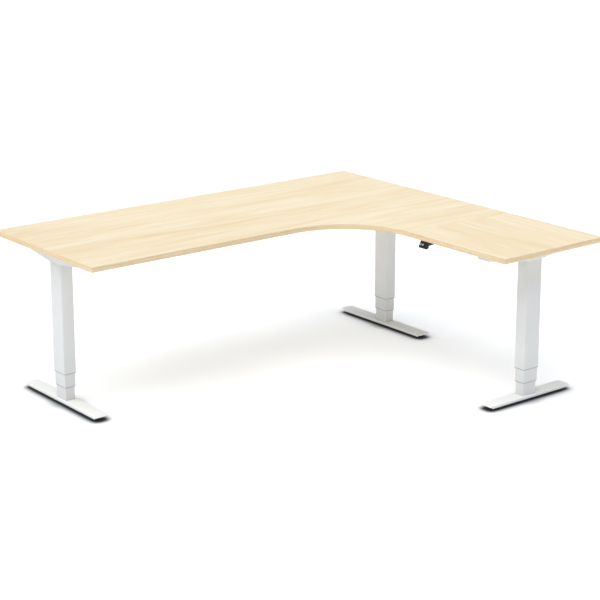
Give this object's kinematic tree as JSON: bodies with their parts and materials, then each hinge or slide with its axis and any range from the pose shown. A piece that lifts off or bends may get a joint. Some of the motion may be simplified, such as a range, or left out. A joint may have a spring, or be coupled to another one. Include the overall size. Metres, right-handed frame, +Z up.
{
  "type": "height adjustable corner desk",
  "caption": "L-shaped desk top on three telescopic lifting columns with T feet, arms and beams, and a push-button panel under its edge.",
  "frame": {"origin": "on the floor, under the middle of the outline of the desk top", "axes": "+Z up; +X along the long side, towards the end that carries the return; +Y towards the back edge, so the user sits on the -Y side"},
  "size_m": [2, 1.75, 0.712],
  "materials": {
    "birch_board": "satin",
    "edge_band": "satin",
    "beech": "matte",
    "zinc_steel": "satin",
    "white_paint": "satin",
    "black_plastic": "matte",
    "panel_plastic": "matte",
    "button_plastic": "matte",
    "white_plastic": "matte",
    "motor_metal": "matte",
    "spindle_steel": "satin",
    "glide_plastic": "matte"
  },
  "bodies": {
    "left_base": {"left_foot": "white_paint", "left_sole": "black_plastic", "left_foot_screws": "zinc_steel", "left_inner_tube": "white_paint", "left_inner_guide": "white_plastic", "left_spindle_nut": "white_plastic"},
    "left_stage": {"left_middle_tube": "white_paint", "left_middle_guides": "white_plastic"},
    "desk": {"main_board": "birch_board", "return_board": "birch_board", "main_edge_band": "edge_band", "return_edge_band": "edge_band", "seam_dowels": "beech", "seam_plates": "zinc_steel", "board_screws": "zinc_steel", "frame_screws": "zinc_steel", "main_beam": "white_paint", "return_beam": "white_paint", "control_box": "black_plastic", "control_panel": "panel_plastic", "outer_guide_rings": "white_plastic", "left_arm": "white_paint", "left_outer_tube": "white_paint", "left_motor": "motor_metal", "corner_arm": "white_paint", "corner_outer_tube": "white_paint", "corner_motor": "motor_metal", "right_arm": "white_paint", "right_outer_tube": "white_paint", "right_motor": "motor_metal"},
    "corner_stage": {"corner_middle_tube": "white_paint", "corner_middle_guides": "white_plastic"},
    "corner_base": {"corner_foot": "white_paint", "corner_sole": "black_plastic", "corner_foot_screws": "zinc_steel", "corner_inner_tube": "white_paint", "corner_inner_guide": "white_plastic", "corner_spindle_nut": "white_plastic"},
    "right_stage": {"right_middle_tube": "white_paint", "right_middle_guides": "white_plastic"},
    "right_base": {"right_foot": "white_paint", "right_sole": "black_plastic", "right_foot_screws": "zinc_steel", "right_inner_tube": "white_paint", "right_inner_guide": "white_plastic", "right_spindle_nut": "white_plastic"},
    "left_drive": {"left_drive_spindle": "spindle_steel"},
    "left_hollow": {"left_hollow_spindle": "spindle_steel"},
    "left_front_foot_glide": {"left_front_glide": "glide_plastic"},
    "left_back_foot_glide": {"left_back_glide": "glide_plastic"},
    "corner_drive": {"corner_drive_spindle": "spindle_steel"},
    "corner_hollow": {"corner_hollow_spindle": "spindle_steel"},
    "corner_front_foot_glide": {"corner_front_glide": "glide_plastic"},
    "corner_back_foot_glide": {"corner_back_glide": "glide_plastic"},
    "right_drive": {"right_drive_spindle": "spindle_steel"},
    "right_hollow": {"right_hollow_spindle": "spindle_steel"},
    "right_front_foot_glide": {"right_front_glide": "glide_plastic"},
    "right_back_foot_glide": {"right_back_glide": "glide_plastic"},
    "up_key": {"up_button": "button_plastic"},
    "down_key": {"down_button": "button_plastic"}
  },
  "joints": [
    {"name": "left_lower_lift", "type": "slide", "parent": "left_base", "child": "left_stage", "axis": [0, 0, 1], "range_m": [-0.045, 0.28]},
    {"name": "left_upper_lift", "type": "slide", "parent": "left_stage", "child": "desk", "axis": [0, 0, 1], "range_m": [-0.045, 0.28]},
    {"name": "corner_upper_lift", "type": "slide", "parent": "desk", "child": "corner_stage", "axis": [0, 0, -1], "range_m": [-0.045, 0.28]},
    {"name": "corner_lower_lift", "type": "slide", "parent": "corner_stage", "child": "corner_base", "axis": [0, 0, -1], "range_m": [-0.045, 0.28]},
    {"name": "right_upper_lift", "type": "slide", "parent": "desk", "child": "right_stage", "axis": [0, 0, -1], "range_m": [-0.045, 0.28]},
    {"name": "right_lower_lift", "type": "slide", "parent": "right_stage", "child": "right_base", "axis": [0, 0, -1], "range_m": [-0.045, 0.28]},
    {"name": "left_drive_turn", "type": "hinge", "parent": "desk", "child": "left_drive", "pos_m": [-0.907, 0.475, 0.5], "axis": [0, 0, 1], "range_deg": [-2705, 16805]},
    {"name": "left_hollow_turn", "type": "hinge", "parent": "left_stage", "child": "left_hollow", "pos_m": [-0.907, 0.475, 0.5], "axis": [0, 0, 1], "range_deg": [-1355, 8405]},
    {"name": "corner_drive_turn", "type": "hinge", "parent": "desk", "child": "corner_drive", "pos_m": [0.936, 0.475, 0.5], "axis": [0, 0, 1], "range_deg": [-2705, 16805]},
    {"name": "corner_hollow_turn", "type": "hinge", "parent": "corner_stage", "child": "corner_hollow", "pos_m": [0.936, 0.475, 0.5], "axis": [0, 0, 1], "range_deg": [-1355, 8405]},
    {"name": "right_drive_turn", "type": "hinge", "parent": "desk", "child": "right_drive", "pos_m": [0.7, -0.73, 0.5], "axis": [0, 0, 1], "range_deg": [-2705, 16805]},
    {"name": "right_hollow_turn", "type": "hinge", "parent": "right_stage", "child": "right_hollow", "pos_m": [0.7, -0.73, 0.5], "axis": [0, 0, 1], "range_deg": [-1355, 8405]},
    {"name": "left_front_glide_turn", "type": "hinge", "parent": "left_base", "child": "left_front_foot_glide", "pos_m": [-0.907, 0.225, 0], "axis": [0, 0, 1], "range_deg": [-1080, 1080]},
    {"name": "left_back_glide_turn", "type": "hinge", "parent": "left_base", "child": "left_back_foot_glide", "pos_m": [-0.907, 0.725, 0], "axis": [0, 0, 1], "range_deg": [-1080, 1080]},
    {"name": "corner_front_glide_turn", "type": "hinge", "parent": "corner_base", "child": "corner_front_foot_glide", "pos_m": [0.936, 0.225, 0], "axis": [0, 0, 1], "range_deg": [-1080, 1080]},
    {"name": "corner_back_glide_turn", "type": "hinge", "parent": "corner_base", "child": "corner_back_foot_glide", "pos_m": [0.936, 0.725, 0], "axis": [0, 0, 1], "range_deg": [-1080, 1080]},
    {"name": "right_front_glide_turn", "type": "hinge", "parent": "right_base", "child": "right_front_foot_glide", "pos_m": [0.5, -0.73, 0], "axis": [0, 0, 1], "range_deg": [-1080, 1080]},
    {"name": "right_back_glide_turn", "type": "hinge", "parent": "right_base", "child": "right_back_foot_glide", "pos_m": [0.9, -0.73, 0], "axis": [0, 0, 1], "range_deg": [-1080, 1080]},
    {"name": "up_press", "type": "slide", "parent": "desk", "child": "up_key", "axis": [0.8944, 0, -0.4472], "range_m": [0, 0.0012], "stiffness_N_per_m": 900, "springref_m": -0.0006},
    {"name": "down_press", "type": "slide", "parent": "desk", "child": "down_key", "axis": [0.8944, 0, -0.4472], "range_m": [0, 0.0012], "stiffness_N_per_m": 900, "springref_m": -0.0006}
  ],
  "couplings": [
    {"joint": "left_upper_lift", "follows": "left_lower_lift", "ratio": 1},
    {"joint": "corner_upper_lift", "follows": "left_lower_lift", "ratio": 1},
    {"joint": "corner_lower_lift", "follows": "left_lower_lift", "ratio": 1},
    {"joint": "right_upper_lift", "follows": "left_lower_lift", "ratio": 1},
    {"joint": "right_lower_lift", "follows": "left_lower_lift", "ratio": 1},
    {"joint": "left_drive_turn", "follows": "left_lower_lift", "rad_per_m": 1047.2},
    {"joint": "left_hollow_turn", "follows": "left_lower_lift", "rad_per_m": 523.6},
    {"joint": "corner_drive_turn", "follows": "left_lower_lift", "rad_per_m": 1047.2},
    {"joint": "corner_hollow_turn", "follows": "left_lower_lift", "rad_per_m": 523.6},
    {"joint": "right_drive_turn", "follows": "left_lower_lift", "rad_per_m": 1047.2},
    {"joint": "right_hollow_turn", "follows": "left_lower_lift", "rad_per_m": 523.6}
  ]
}
